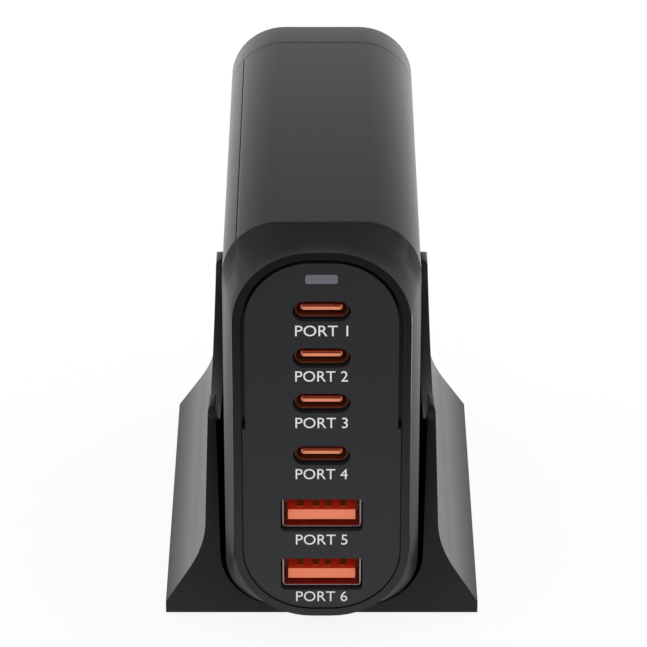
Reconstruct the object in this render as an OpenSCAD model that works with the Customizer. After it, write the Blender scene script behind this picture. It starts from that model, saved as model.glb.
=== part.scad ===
// Desktop charger with several USB sockets, standing on edge in a flared stand.
// X runs to the right, Y to the back and Z up.
// The origin is at the middle of the footprint, on the table.

/* [Housing] */
// Width of the housing
body_w = 32; // [31:0.5:40]
// Height of the housing
body_h = 72; // [60:0.5:90]
// Depth of the housing, from its front rim to its back
body_d = 84; // [70:1:110]
// Radius of the housing's long edges
corner_r = 9.5; // [7:0.25:11]
// Thickness of the housing's walls
wall = 1.8; // [1.4:0.1:2.4]
// Depth of the rear cap
cap_d = 8; // [6:0.5:12]
// Rounding of the rear cap's back edge
cap_round = 1.2; // [1:0.2:3]
// Distance of the side seam from the left face
seam_inset = 2.4; // [2:0.1:3.2]
// How far the seam moves inward across the nose
seam_slant = 1.9; // [0:0.1:2.5]
// Width of the fine reveal at each seam
reveal_w = 0.16; // [0.08:0.02:0.3]
// Depth of the fine reveal at each seam
reveal_depth = 0.5; // [0.2:0.1:0.8]

/* [Nose] */
// Depth of the nose between its crease and the front rim
nose_d = 5.4; // [4:0.2:8]
// Distance of the front rim inside the housing's sides
rim_side = 1.6; // [0.8:0.1:2]
// Distance of the front rim inside the housing's top and bottom
rim_rise = 2.1; // [1.4:0.1:2.6]
// Corner radius of the front rim
face_r = 12.8; // [10:0.2:13]
// How far the front rim's middle lies below the housing's middle
face_drop = 0.75; // [0:0.05:1]
// Hollowing of the nose, where 1 is a straight slope
nose_hollow = 1.7; // [1:0.1:2.4]

/* [Front panel] */
// Width of the front rim's flat edge
rim_w = 1.35; // [1.2:0.05:2]
// Gap between the rim and the lower half of the panel
panel_gap = 0.15; // [0.1:0.05:0.3]
// Gap between the rim and the upper half of the panel
arch_gap = 0.65; // [0.15:0.05:0.8]
// Height where the wider gap starts, above the housing's middle
arch_start = 1; // [-5:0.5:10]
// Thickness of the front panel
panel_t = 1.8; // [1.4:0.1:2.4]
// Distance of the panel's face behind the front rim
panel_recess = 0.2; // [0:0.05:0.6]
// Width of the ledge behind the panel's edge
ledge_w = 1.2; // [0.8:0.1:1.6]

/* [Sockets] */
// Height of the lowest socket above the housing's underside
lowest_port = 9.35; // [9:0.05:11]
// Places of the USB-C sockets, where 0 is the lowest socket and 1 is the indicator
usb_c_places = [0.8954, 0.7416, 0.5896, 0.4122]; // [0.4:0.0001:0.9]
// Places of the USB-A sockets on the same scale
usb_a_places = [0.2066, 0]; // [0:0.0001:0.21]
// Distance of each socket's metal lip behind the panel's face
lip_recess = 1; // [0:0.05:1.1]
// Distance between the panel's face and the port board
socket_d = 11.6; // [10:0.2:14]
// Clearance round each socket in the panel
socket_gap = 0.2; // [0.05:0.01:0.25]
// Clearance round each insulator in its shell
insulator_gap = 0.04; // [0.02:0.01:0.1]

/* [Indicator] */
// Width of the indicator bar
light_w = 5.2; // [3:0.1:8]
// Height of the indicator bar
light_h = 1.6; // [1:0.1:2.4]
// Distance of the indicator below the housing's top
light_drop = 7.7; // [7:0.1:9]

/* [Stand] */
// Distance of the stand's front foot behind the housing's front rim
stand_setback = 5.4; // [4:0.1:8]
// Distance of the stand's rear foot ahead of the housing's back
stand_rear_gap = 10.7; // [6:0.1:20]
// Width of the stand at the table
stand_w = 52.4; // [50:0.5:64]
// Height of the stand's four horns
stand_h = 37; // [33:0.5:42]
// Thickness of each horn at its top
horn_t = 1.3; // [1:0.1:2]
// How much the stand swells outward below each horn
waist_swell = 0.6; // [0:0.1:1.2]
// Length of each horn's flat top
horn_d = 5.5; // [4:0.5:9]
// Inward lean of the stand's front and back over their height
end_lean = 4.4; // [0:0.1:6]
// Height at the bottom of the scoop in each side
scoop_height = 24.4; // [18:0.2:28]
// Height of the upright edge along the foot
foot_edge = 2.1; // [1:0.1:3]
// Slope of the flare above the foot, from upright
flare_angle = 33.5; // [28:0.5:36]
// Height where the flare turns upright
flare_top = 17; // [15:0.5:20]
// Gap between the housing and the horns at their tops
cradle_gap_top = 1.5; // [0.6:0.1:1.8]
// Gap between the housing and the stand low down
cradle_gap = 0.95; // [0.3:0.05:1.2]
// Thickness of the stand's moulded walls
stand_wall = 1.4; // [1.2:0.1:2]
// Number of cross ribs under each flare
rib_count = 2; // [1:1:3]
// Thickness of each cross rib
rib_t = 1.2; // [0.8:0.1:2]
// Diameter of the stand's rubber pads
pad_dia = 7; // [5:0.5:8]
// Thickness of the rubber pads
pad_t = 1; // [0.8:0.1:1.4]
// How far the pads stand out below the stand
pad_proud = 0.3; // [0.2:0.1:0.6]
// Distance of each pad's middle from the side of the foot
pad_inset_x = 6.2; // [6:0.1:8]
// Distance of each pad's middle from the end of the foot
pad_inset_y = 7.5; // [6:0.5:10]

/* [Boards] */
// Thickness of the circuit boards
board_t = 1.6; // [1:0.2:2]
// Clearance between the main board and the housing's right wall
board_standoff = 1.6; // [1.2:0.1:2.4]
// Clearance between the main board's upper and lower edges and the housing
board_edge_gap = 3.4; // [2.8:0.1:5]
// Gap between the port board and the main board
board_gap = 1.4; // [1:0.1:3]
// Clearance between the port board's sides and the housing's walls
port_board_side = 3; // [2.8:0.1:3.6]
// Clearance between the port board's ends and the housing's walls
port_board_rise = 4.2; // [3.8:0.1:5]
// Corner radius of the port board
port_board_r = 8; // [7:0.5:9]
// Outer radius of a screw boss
boss_r = 1.7; // [1.6:0.1:2]
// Radius of a screw's shank
screw_r = 0.7; // [0.5:0.1:0.9]
// Radius of a screw's head
screw_head_r = 1.4; // [1.2:0.1:1.8]
// Height of a screw's head
screw_head_h = 0.9; // [0.6:0.1:1.2]
// Length of a screw's shank past its board
screw_bite = 2.4; // [1.8:0.1:2.6]

/* [Power parts] */
// Thickness of the insulation sheet inside the side cover
sheet_t = 0.4; // [0.2:0.1:0.6]
// Thickness of the thermal pad on the transformer
thermal_pad_t = 1.5; // [0.5:0.1:2.5]
// Diameter of each main capacitor, as a share of the main board's length
bulk_share = 0.25; // [0.18:0.01:0.25]
// Diameter of each output capacitor, as a share of the main board's length
output_share = 0.121; // [0.08:0.001:0.121]
// Diameter of the filter choke's core, as a share of the main board's length
choke_share = 0.25; // [0.18:0.01:0.25]
// Gap between cans that stand side by side
can_gap = 0.8; // [0.3:0.1:1.5]

/* [Mains inlet] */
// Width of the inlet's moulding
inlet_w = 19; // [18:0.5:20]
// Height of the inlet's moulding
inlet_h = 12.4; // [12:0.2:14]
// Depth of the inlet's moulding
inlet_d = 15; // [14:0.5:17]
// Height of the inlet above the housing's underside
inlet_height = 15; // [13:0.5:18]
// Depth of the inlet's socket
inlet_socket_d = 11.5; // [11:0.5:12]
// Spacing of the two inlet pins
pin_pitch = 8.6; // [8.4:0.1:8.8]
// Diameter of each inlet pin
pin_dia = 2.36; // [2.3:0.02:2.4]

/* [Hidden] */

$fn = 32;
tiny = 0.01;
far = 200;
corner_steps = 14;
nose_rows = 6;
cap_rows = 5;

housing_color = "#2c2d2f";
panel_color = "#313235";
stand_color = "#27282a";
tongue_color = "#e0431c";
steel_color = "#c4c2c0";
gold_color = "#d8b45a";
board_color = "#1f5b3a";

// The housing's underside rests on the stand's floor
body_z = pad_proud + stand_wall;
body_mid_z = body_z + body_h / 2;
face_mid_z = body_mid_z - face_drop;
face_w = body_w - 2 * rim_side;
face_h = body_h - 2 * rim_rise;
cap_y = body_d - cap_d;
seam_x = -body_w / 2 + seam_inset;
seam_front_x = seam_x + seam_slant;

// The panel's outline follows the rim
opening_w = face_w - 2 * rim_w;
opening_h = face_h - 2 * rim_w;
opening_r = face_r - rim_w;
panel_back_y = panel_recess + panel_t;
cavity_y = nose_d + wall / 2;
ledge_in_w = opening_w - 2 * ledge_w;
ledge_in_h = opening_h - 2 * ledge_w;
ledge_in_r = opening_r - ledge_w;

// Socket sizes, as the connectors' standard gives them
usb_c_w = 8.94;
usb_c_h = 3.16;
usb_c_skin = 0.3;
usb_c_tongue_w = 6.7;
usb_c_tongue_t = 0.7;
usb_c_tongue_recess = 1.15;
usb_c_contact_count = 12;
usb_c_pitch = 0.5;
usb_a_w = 13.1;
usb_a_h = 5.72;
usb_a_skin = 0.3;
usb_a_corner = 0.6;
usb_a_tongue_w = 11.1;
usb_a_tongue_t = 1.84;
usb_a_tongue_recess = 1.1;
usb_a_under_gap = 1.2;
usb_a_contact_xs = [-3.5, -1, 1, 3.5];
port_span = body_h - light_drop - lowest_port;
usb_c_heights = [for (place = usb_c_places) lowest_port + place * port_span];
usb_a_heights = [for (place = usb_a_places) lowest_port + place * port_span];
light_height = lowest_port + port_span;
contact_t = 0.1;
shell_y = panel_recess + lip_recess;
port_board_y = panel_recess + socket_d;
port_back_y = port_board_y + board_t;
port_board_w = body_w - 2 * (wall + port_board_side);
port_board_h = body_h - 2 * (wall + port_board_rise);
post_gap = 0.4;
port_screw_x = ledge_in_w / 2 - boss_r - post_gap;
port_screw_zs = [
    body_z + (usb_a_heights[0] + usb_a_heights[1]) / 2,
    face_mid_z + ledge_in_h / 2 - ledge_in_r
];

// The main board stands along the right wall
cavity_x = body_w / 2 - wall;
main_back_x = cavity_x - board_standoff;
main_x = main_back_x - board_t;
main_board_y = port_back_y + board_gap;
main_board_h = body_h - 2 * (wall + board_edge_gap);
main_board_z = body_mid_z - main_board_h / 2;
inlet_y = body_d - inlet_d;
inlet_z = body_z + inlet_height;
tail_len = 2;
main_board_end = inlet_y - tail_len;
board_run = main_board_end - main_board_y;
sheet_x = -cavity_x + sheet_t;
board_room = main_x - sheet_x;
core_x = sheet_x + thermal_pad_t;
bore_run_out = 1.2;
screw_fit = 0.02;
screw_hole_gap = 0.1;

// A place along the main board and one up it, as shares of its length and height
function along(share) = main_board_y + share * board_run;
function up(share) = main_board_z + share * main_board_h;

// Where each part stands on the main board, along it and up it, in those shares
main_screw_ys = [along(0.077), along(0.923)];
main_screw_zs = [up(0.065), up(0.935)];
link_end = 0.09;
core_run = [0.307, 0.632];
core_rise = [0.354, 0.711];
winding_run = [0.242, 0.697];
bulk_run = 0.828;
bulk_rise = [0.372, 0.596];
output_run = 0.165;
output_rise = [0.146, 0.261, 0.376, 0.491];
choke_run = 0.847;
choke_rise = 0.846;
film_run = [0.345, 0.594];
film_rise = [0.033, 0.13];
fuse_run = [0.617, 0.808];
fuse_rise = 0.195;
bridge_run = [0.671, 0.736];
bridge_rise = [0.805, 0.967];
sink_run = [0.172, 0.632];
sink_rise = [0.773, 0.797];
transistor_runs = [[0.211, 0.383], [0.429, 0.602]];
transistor_rise = [0.797, 0.862];

// How far the parts stand out from the main board, as shares of the room over it
bulk_deep = 0.8;
output_deep = 0.44;
film_deep = 0.48;
bridge_deep = 0.44;
sink_deep = 0.8;
transistor_deep = [0.04, 0.56];

// Shares of the main board's height that hold the round parts and the transformer's legs
choke_high_share = 0.211;
fuse_share = 0.096;
fuse_high_share = 0.081;
choke_thick_share = 0.38;
choke_coat_share = 0.085;
core_leg_share = 0.0667;

// Diameters of the round parts, which keep apart when the housing is lower or shorter
bulk_dia = min(bulk_share * board_run, (bulk_rise[1] - bulk_rise[0]) * main_board_h - can_gap);
output_dia = min(output_share * board_run, (output_rise[1] - output_rise[0]) * main_board_h - can_gap);
choke_dia = min(choke_share * board_run, choke_high_share * main_board_h);
fuse_dia = min(fuse_share * board_run, fuse_high_share * main_board_h);

// The stand's cross section
stand_y = stand_setback;
stand_d = body_d - stand_setback - stand_rear_gap;
stand_mid_y = stand_y + stand_d / 2;
foot_x = stand_w / 2;
horn_x = body_w / 2 + cradle_gap_top + horn_t;
bend_z = body_z + corner_r;
flat_x = body_w / 2 - corner_r;
saddle_rx = corner_r + cradle_gap;
horn_in_x = body_w / 2 + cradle_gap_top;
scoop_a = stand_d / 2 - end_lean - horn_d;
scoop_b = stand_h - scoop_height;
edge_z = pad_proud + foot_edge;
waist_x = horn_x + waist_swell;
saddle_steps = corner_steps;
flare_steps = 14;
horn_steps = 4;
scoop_steps = 24;

function lerp(a, b, t) = a + (b - a) * t;

// Points of an arc, with a centre, two radii and two angles
function arc(cx, cy, rx, ry, from, to, steps) = [
    for (i = [0 : steps])
        let (a = lerp(from, to, i / steps))
        [cx + rx * cos(a), cy + ry * sin(a)]
];

// Points of a rounded rectangle about the origin
function rounded_outline(w, h, r) = concat(
    arc(w / 2 - r, h / 2 - r, r, r, 0, 90, corner_steps),
    arc(-w / 2 + r, h / 2 - r, r, r, 90, 180, corner_steps),
    arc(-w / 2 + r, -h / 2 + r, r, r, 180, 270, corner_steps),
    arc(w / 2 - r, -h / 2 + r, r, r, 270, 360, corner_steps)
);

// Puts what is drawn from the front rim into the part's own frame
module placed() {
    translate([0, -body_d / 2, 0]) children();
}

// A flat shape in X and Z, drawn out from y0 back to y1
module drawn_back(y0, y1) {
    translate([0, y1, 0]) rotate([90, 0, 0]) linear_extrude(height = y1 - y0) children();
}

// A flat shape in Y and Z, drawn out from x0 to x1
module drawn_across(x0, x1) {
    translate([x0, 0, 0]) rotate([90, 0, 90]) linear_extrude(height = x1 - x0) children();
}

// A rounded bar about the housing's middle or the face's, between two depths
module housing_bar(w, h, r, y0, y1, mid_z = body_mid_z) {
    translate([0, 0, mid_z]) drawn_back(y0, y1) polygon(rounded_outline(w, h, r));
}

// A skin lofted through sections, each with a depth, a width, a height, a radius and a drop
module loft(sections) {
    rows = [
        for (s = sections)
            [for (p = rounded_outline(s[1], s[2], s[3])) [p[0], s[0], p[1] - s[4]]]
    ];
    count = len(rows[0]);
    last = (len(rows) - 1) * count;
    sides = [
        for (row = [0 : len(rows) - 2])
            for (i = [0 : count - 1])
                let (a = row * count + i, b = row * count + (i + 1) % count)
                each [[a, b, b + count], [a, b + count, a + count]]
    ];
    front = [for (i = [count - 1 : -1 : 0]) i];
    back = [for (i = [0 : count - 1]) last + i];
    translate([0, 0, body_mid_z])
        polyhedron(points = [for (row = rows) each row], faces = concat([front], sides, [back]));
}

// Sections of the nose, from the rim back to the crease
function nose_sections(inset) = [
    for (i = [nose_rows : -1 : 0])
        let (t = i / nose_rows, s = 1 - pow(1 - t, nose_hollow))
        [
            nose_d * (1 - t),
            lerp(body_w, face_w, s) - 2 * inset,
            lerp(body_h, face_h, s) - 2 * inset,
            lerp(corner_r, face_r, s) - inset,
            face_drop * s
        ]
];

// Sections of the rear cap's rounded back edge
cap_sections = [
    for (i = [0 : cap_rows])
        let (a = 90 * i / cap_rows, inset = cap_round * (1 - cos(a)))
        [
            body_d - cap_round + cap_round * sin(a),
            body_w - 2 * inset,
            body_h - 2 * inset,
            corner_r - inset,
            0
        ]
];

// The outside of the housing in front of the rear cap
module housing_outside(inset = 0) {
    loft(concat(
        nose_sections(inset),
        [[cap_y, body_w - 2 * inset, body_h - 2 * inset, corner_r - inset, 0]]
    ));
}

// The space inside the housing
module housing_inside() {
    housing_bar(opening_w, opening_h, opening_r, -1, panel_back_y, face_mid_z);
    housing_bar(ledge_in_w, ledge_in_h, ledge_in_r, 0, cavity_y + 1, face_mid_z);
    housing_bar(body_w - 2 * wall, body_h - 2 * wall, corner_r - wall, cavity_y, cap_y + 1);
}

// Everything to the left of the side seam, seen from above
module left_of_seam(shift = 0) {
    linear_extrude(height = far)
        polygon([
            [-far, -far],
            [seam_front_x + shift, -far],
            [seam_front_x + shift, 0],
            [seam_x + shift, nose_d],
            [seam_x + shift, far],
            [-far, far]
        ]);
}

// The left side of the ledge, which the side cover carries under a thin lap of the shell
module ledge_share() {
    lap_t = 0.8;
    lap_w = 0.6;
    intersection() {
        housing_outside(lap_t);
        translate([-far, 0, 0]) cube([far - ledge_in_w / 2 + lap_w, cavity_y + lap_w, far]);
    }
}

// The fine groove along the top, where the side cover meets the shell
module seam_reveal() {
    difference() {
        intersection() {
            housing_outside();
            translate([-far, nose_d, body_mid_z]) cube([2 * far, far, far]);
        }
        translate([0, -tiny, 0]) housing_outside(reveal_depth);
        left_of_seam(-reveal_w);
    }
}

// A lip inside the housing's wall, between two depths from its outside
module inner_lip(from, to, y0, y1) {
    difference() {
        housing_bar(body_w - 2 * from, body_h - 2 * from, corner_r - from, y0, y1);
        housing_bar(body_w - 2 * to, body_h - 2 * to, corner_r - to, y0 - 1, y1 + 1);
    }
}

module main_board_bosses() {
    for (y = main_screw_ys, z = main_screw_zs)
        translate([main_back_x, y, z])
            rotate([0, 90, 0]) cylinder(h = board_standoff + tiny, r = boss_r);
}

module main_board_bores() {
    for (y = main_screw_ys, z = main_screw_zs)
        translate([main_back_x - 1, y, z])
            rotate([0, 90, 0]) cylinder(h = screw_bite + bore_run_out, r = screw_r);
}

module main_shell() {
    color(housing_color) placed() difference() {
        union() {
            difference() {
                housing_outside();
                housing_inside();
            }
            main_board_bosses();
        }
        left_of_seam();
        ledge_share();
        main_board_bores();
    }
}

// Two blocks between two widths, above and below the housing's middle by a distance
module above_and_below(x0, x1, gap) {
    translate([x0, 0, body_mid_z + gap]) cube([x1 - x0, body_d, far]);
    translate([x0, 0, body_mid_z - gap - far]) cube([x1 - x0, body_d, far]);
}

// Locating tabs that reach from the side cover into the shell
module cover_tabs() {
    tab_reach = 1.6;
    tab_root = 0.6;
    tab_t = 1.1;
    tab_gap = 0.12;
    tab_len = 7;
    tab_bend_gap = 0.5;
    tab_z = body_h / 2 - corner_r + tab_bend_gap;
    tab_places = [0.14, 0.455, 0.77];
    for (place = tab_places) {
        y = lerp(cavity_y, cap_y, place);
        intersection() {
            inner_lip(wall - tiny, wall + tab_t, y, y + tab_len);
            above_and_below(seam_x - tab_root, seam_x, tab_z);
        }
        intersection() {
            inner_lip(wall + tab_gap, wall + tab_t, y, y + tab_len);
            above_and_below(seam_x - tiny, seam_x + tab_reach, tab_z);
        }
    }
}

module side_cover() {
    color(housing_color) placed() union() {
        difference() {
            intersection() {
                difference() {
                    housing_outside();
                    housing_inside();
                }
                union() {
                    left_of_seam();
                    ledge_share();
                }
            }
            seam_reveal();
        }
        cover_tabs();
    }
}

// The opening for the mains inlet
module inlet_outline(grow = 0) {
    square([inlet_w + 2 * grow, inlet_h + 2 * grow], center = true);
}

module rear_cap() {
    lip_d = 2.4;
    lip_t = 1.2;
    lip_gap = 0.12;
    inlet_gap = 0.1;
    color(housing_color) placed() difference() {
        union() {
            loft(cap_sections);
            housing_bar(body_w, body_h, corner_r, cap_y + reveal_w, body_d - cap_round);
            housing_bar(
                body_w - 2 * reveal_depth, body_h - 2 * reveal_depth, corner_r - reveal_depth,
                cap_y, cap_y + reveal_w
            );
            housing_bar(
                body_w - 2 * (wall + lip_gap), body_h - 2 * (wall + lip_gap), corner_r - wall - lip_gap,
                cap_y - lip_d, cap_y
            );
        }
        housing_bar(
            body_w - 2 * (wall + lip_t), body_h - 2 * (wall + lip_t), corner_r - wall - lip_t,
            cap_y - lip_d - 1, body_d - wall
        );
        translate([0, 0, inlet_z]) drawn_back(body_d - wall - 1, body_d + 1) inlet_outline(inlet_gap);
    }
}

// A flat slot with round ends
module slot2d(w, h) {
    square([w - h, h], center = true);
    for (side = [-1, 1]) translate([side * (w - h) / 2, 0]) circle(d = h);
}

// A flat rectangle with small round corners
module soft_rectangle(w, h, r) {
    square([w - 2 * r, h], center = true);
    square([w, h - 2 * r], center = true);
    for (x = [-1, 1], y = [-1, 1]) translate([x * (w / 2 - r), y * (h / 2 - r)]) circle(r = r);
}

module usb_c_outline(grow = 0) {
    slot2d(usb_c_w + 2 * grow, usb_c_h + 2 * grow);
}

module usb_a_outline(grow = 0) {
    soft_rectangle(usb_a_w + 2 * grow, usb_a_h + 2 * grow, usb_a_corner + grow);
}

// Puts a child at each USB-C socket, or at one of them
module at_usb_c(index) {
    translate([0, 0, body_z + usb_c_heights[index]]) children();
}

module at_usb_a(index) {
    translate([0, 0, body_z + usb_a_heights[index]]) children();
}

// The panel's outline inside the rim, at a gap from it
module panel_plate(gap) {
    housing_bar(
        opening_w - 2 * gap, opening_h - 2 * gap, opening_r - gap,
        panel_recess, panel_back_y, face_mid_z
    );
}

module front_panel() {
    color(panel_color) placed() difference() {
        union() {
            panel_plate(arch_gap);
            intersection() {
                panel_plate(panel_gap);
                translate([-far, 0, 0]) cube([2 * far, far, body_mid_z + arch_start]);
            }
            for (x = [-1, 1], z = port_screw_zs)
                translate([x * port_screw_x, port_board_y, z])
                    rotate([90, 0, 0]) cylinder(h = port_board_y - panel_back_y + tiny, r = boss_r);
        }
        for (i = [0 : len(usb_c_heights) - 1])
            at_usb_c(i) drawn_back(-1, port_board_y) usb_c_outline(socket_gap);
        for (i = [0 : len(usb_a_heights) - 1])
            at_usb_a(i) drawn_back(-1, port_board_y) usb_a_outline(socket_gap);
        translate([0, 0, body_z + light_height]) drawn_back(-1, port_board_y)
            light_outline(light_gap);
        for (x = [-1, 1], z = port_screw_zs)
            translate([x * port_screw_x, port_board_y + 1, z])
                rotate([90, 0, 0]) cylinder(h = screw_bite + bore_run_out, r = screw_r);
    }
}

light_gap = 0.05;
led_w = 2;
led_h = 1;
led_t = 0.9;

module light_outline(grow = 0) {
    light_r = 0.4;
    soft_rectangle(light_w + 2 * grow, light_h + 2 * grow, light_r + grow);
}

module light_guide() {
    led_gap = 0.1;
    color("#8d97a6") placed() translate([0, 0, body_z + light_height])
        drawn_back(panel_recess, port_board_y - led_t - led_gap) light_outline();
}

module status_light() {
    color("#e8ead8") placed()
        translate([-led_w / 2, port_board_y - led_t, body_z + light_height - led_h / 2])
            cube([led_w, led_t, led_h]);
}

module usb_c_shell(index) {
    color(steel_color) placed() at_usb_c(index) difference() {
        drawn_back(shell_y, port_board_y) usb_c_outline();
        drawn_back(shell_y - 1, port_board_y + 1) usb_c_outline(-usb_c_skin);
    }
}

module usb_c_tongue(index) {
    base_d = 3.6;
    tip_d = 0.5;
    tip_side = 0.3;
    tip_rise = 0.07;
    tip_y = panel_recess + usb_c_tongue_recess;
    color(tongue_color) placed() at_usb_c(index) union() {
        drawn_back(port_board_y - base_d, port_board_y) usb_c_outline(-usb_c_skin - insulator_gap);
        drawn_back(tip_y + tip_d, port_board_y - base_d)
            square([usb_c_tongue_w, usb_c_tongue_t], center = true);
        drawn_back(tip_y, tip_y + tip_d)
            square([usb_c_tongue_w - 2 * tip_side, usb_c_tongue_t - 2 * tip_rise], center = true);
    }
}

module usb_c_contacts() {
    strip_w = 0.26;
    strip_start = 0.8;
    strip_y = panel_recess + usb_c_tongue_recess + strip_start;
    strip_len = 5;
    first = -(usb_c_contact_count - 1) / 2 * usb_c_pitch;
    color(gold_color) placed() for (index = [0 : len(usb_c_heights) - 1]) at_usb_c(index)
        for (i = [0 : usb_c_contact_count - 1], side = [0, 1])
            translate([
                first + i * usb_c_pitch - strip_w / 2,
                strip_y,
                side == 0 ? usb_c_tongue_t / 2 : -usb_c_tongue_t / 2 - contact_t
            ]) cube([strip_w, strip_len, contact_t]);
}

module usb_a_shell(index) {
    tab_w = 1.6;
    tab_h = 0.35;
    tab_x = 3.2;
    tab_start = 0.5;
    tab_rise = 1;
    tab_flat = 1.5;
    tab_fall = 2;
    color(steel_color) placed() at_usb_a(index) union() {
        difference() {
            drawn_back(shell_y, port_board_y) usb_a_outline();
            drawn_back(shell_y - 1, port_board_y + 1) usb_a_outline(-usb_a_skin);
        }
        for (side = [-1, 1])
            translate([0, 0, -usb_a_h / 2 + usb_a_skin])
                drawn_across(side * tab_x - tab_w / 2, side * tab_x + tab_w / 2)
                    polygon([
                        [shell_y + tab_start, -tiny],
                        [shell_y + tab_start + tab_rise, tab_h],
                        [shell_y + tab_start + tab_rise + tab_flat, tab_h],
                        [shell_y + tab_start + tab_rise + tab_flat + tab_fall, -tiny]
                    ]);
    }
}

// Height of the USB-A tongue's underside, from the middle of the socket
usb_a_tongue_z = -usb_a_h / 2 + usb_a_skin + usb_a_under_gap;

module usb_a_tongue(index) {
    base_d = 3;
    color(tongue_color) placed() at_usb_a(index) union() {
        drawn_back(port_board_y - base_d, port_board_y) usb_a_outline(-usb_a_skin - insulator_gap);
        translate([-usb_a_tongue_w / 2, panel_recess + usb_a_tongue_recess, usb_a_tongue_z])
            cube([
                usb_a_tongue_w,
                port_board_y - base_d - panel_recess - usb_a_tongue_recess,
                usb_a_tongue_t
            ]);
    }
}

module usb_a_contacts() {
    strip_w = 1;
    strip_y = panel_recess + usb_a_tongue_recess + 1;
    strip_len = 6;
    color(gold_color) placed() for (index = [0 : len(usb_a_heights) - 1], x = usb_a_contact_xs)
        at_usb_a(index) translate([x - strip_w / 2, strip_y, usb_a_tongue_z + usb_a_tongue_t])
            cube([strip_w, strip_len, contact_t]);
}

module port_board() {
    color(board_color) placed() difference() {
        housing_bar(port_board_w, port_board_h, port_board_r, port_board_y, port_back_y, face_mid_z);
        for (x = [-1, 1], z = port_screw_zs)
            translate([x * port_screw_x, port_back_y + 1, z])
                rotate([90, 0, 0]) cylinder(h = board_t + 2, r = screw_r + screw_hole_gap);
    }
}

// A screw along Z, with its head's underside at zero and its shank below
module screw(grip) {
    tip_gap = 0.2;
    shank = grip + screw_bite - tip_gap;
    cylinder(h = screw_head_h, r = screw_head_r);
    translate([0, 0, -shank]) cylinder(h = shank + tiny, r = screw_r - screw_fit);
}

module port_screws() {
    color(steel_color) placed() for (x = [-1, 1], z = port_screw_zs)
        translate([x * port_screw_x, port_back_y, z])
            rotate([-90, 0, 0]) screw(board_t);
}

chip_side = 1.6;
chip_gap = 0.4;

module port_coils() {
    coil = 5.6;
    coil_t = 3;
    color("#55585c") placed() for (height = usb_c_heights)
        translate([-chip_side - chip_gap - coil, port_back_y, body_z + height - coil / 2])
            cube([coil, coil_t, coil]);
}

module port_chips() {
    chip = 4;
    chip_t = 0.9;
    color("#1b1b1d") placed() for (height = concat(usb_c_heights, usb_a_heights))
        translate([-chip_side, port_back_y, body_z + height - chip / 2]) cube([chip, chip_t, chip]);
}

module board_link() {
    link_w = 2.5;
    link_h = main_board_h / 3;
    color("#202124") placed()
        translate([main_x - link_w, port_back_y, body_mid_z - link_h / 2])
            cube([link_w, along(link_end) - port_back_y, link_h]);
}

module main_board() {
    color(board_color) placed() difference() {
        translate([main_x, main_board_y, main_board_z])
            cube([board_t, main_board_end - main_board_y, main_board_h]);
        for (y = main_screw_ys, z = main_screw_zs)
            translate([main_x - 1, y, z])
                rotate([0, 90, 0]) cylinder(h = board_t + 2, r = screw_r + screw_hole_gap);
    }
}

module board_screws() {
    color(steel_color) placed() for (y = main_screw_ys, z = main_screw_zs)
        translate([main_x, y, z]) rotate([0, -90, 0]) screw(board_t);
}

// A block on the main board, between shares of its length, its height and the room over it
module board_block(run, rise, deep) {
    translate([main_x - deep[1] * board_room, along(run[0]), up(rise[0])])
        cube([
            (deep[1] - deep[0]) * board_room,
            along(run[1]) - along(run[0]),
            up(rise[1]) - up(rise[0])
        ]);
}

// A can that stands on the main board, with its axis across the housing
module board_can(run, rise, dia, deep) {
    translate([main_x - deep * board_room, along(run), up(rise)])
        rotate([0, 90, 0]) cylinder(h = deep * board_room, d = dia);
}

// The transformer's core is a frame round the winding
core_leg = main_board_h * core_leg_share;
core_y = along(core_run[0]);
core_d = along(core_run[1]) - core_y;
core_z = up(core_rise[0]);
core_h = up(core_rise[1]) - core_z;
core_len_x = main_x - core_x;

module transformer_core() {
    color("#3a3a3c") placed() translate([core_x, core_y, core_z]) difference() {
        cube([core_len_x, core_d, core_h]);
        translate([core_leg, -1, core_leg])
            cube([core_len_x - 2 * core_leg, core_d + 2, core_h - 2 * core_leg]);
    }
}

module transformer_winding() {
    gap = 0.04;
    color("#c98a3c") placed()
        translate([core_x + core_leg + gap, along(winding_run[0]), core_z + core_leg + gap])
            cube([
                core_len_x - 2 * (core_leg + gap),
                along(winding_run[1]) - along(winding_run[0]),
                core_h - 2 * (core_leg + gap)
            ]);
}

choke_bore = choke_dia / 2;
choke_t = choke_dia * choke_thick_share;
choke_coat = choke_dia * choke_coat_share;
ring_facets = 48;

// A ring about the choke's axis, between two radii
module choke_ring(r0, r1, t, from = 0, turn = 360) {
    rotate([0, 0, from]) rotate_extrude(angle = turn, $fn = ring_facets)
        translate([r0, -t / 2]) square([r1 - r0, t]);
}

module at_choke() {
    translate([main_x - choke_dia / 2 - choke_coat, along(choke_run), up(choke_rise)])
        rotate([90, 0, 0]) children();
}

module choke_core() {
    color("#4c6b52") placed() at_choke() choke_ring(choke_bore / 2, choke_dia / 2, choke_t);
}

module choke_winding() {
    turn = 120;
    color("#b8702f") placed() at_choke() for (from = [-turn / 2, 180 - turn / 2]) difference() {
        choke_ring(
            choke_bore / 2 - choke_coat, choke_dia / 2 + choke_coat, choke_t + 2 * choke_coat, from, turn
        );
        choke_ring(choke_bore / 2, choke_dia / 2, choke_t);
    }
}

module bulk_capacitors() {
    color("#22324a") placed() for (rise = bulk_rise) board_can(bulk_run, rise, bulk_dia, bulk_deep);
}

module output_capacitors() {
    color("#6a6f75") placed() for (rise = output_rise)
        board_can(output_run, rise, output_dia, output_deep);
}

module film_capacitor() {
    color("#c9a23a") placed() board_block(film_run, film_rise, [0, film_deep]);
}

module fuse() {
    color("#d9d5c8") placed() translate([main_x - fuse_dia / 2, along(fuse_run[0]), up(fuse_rise)])
        rotate([-90, 0, 0]) cylinder(h = along(fuse_run[1]) - along(fuse_run[0]), d = fuse_dia);
}

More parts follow.
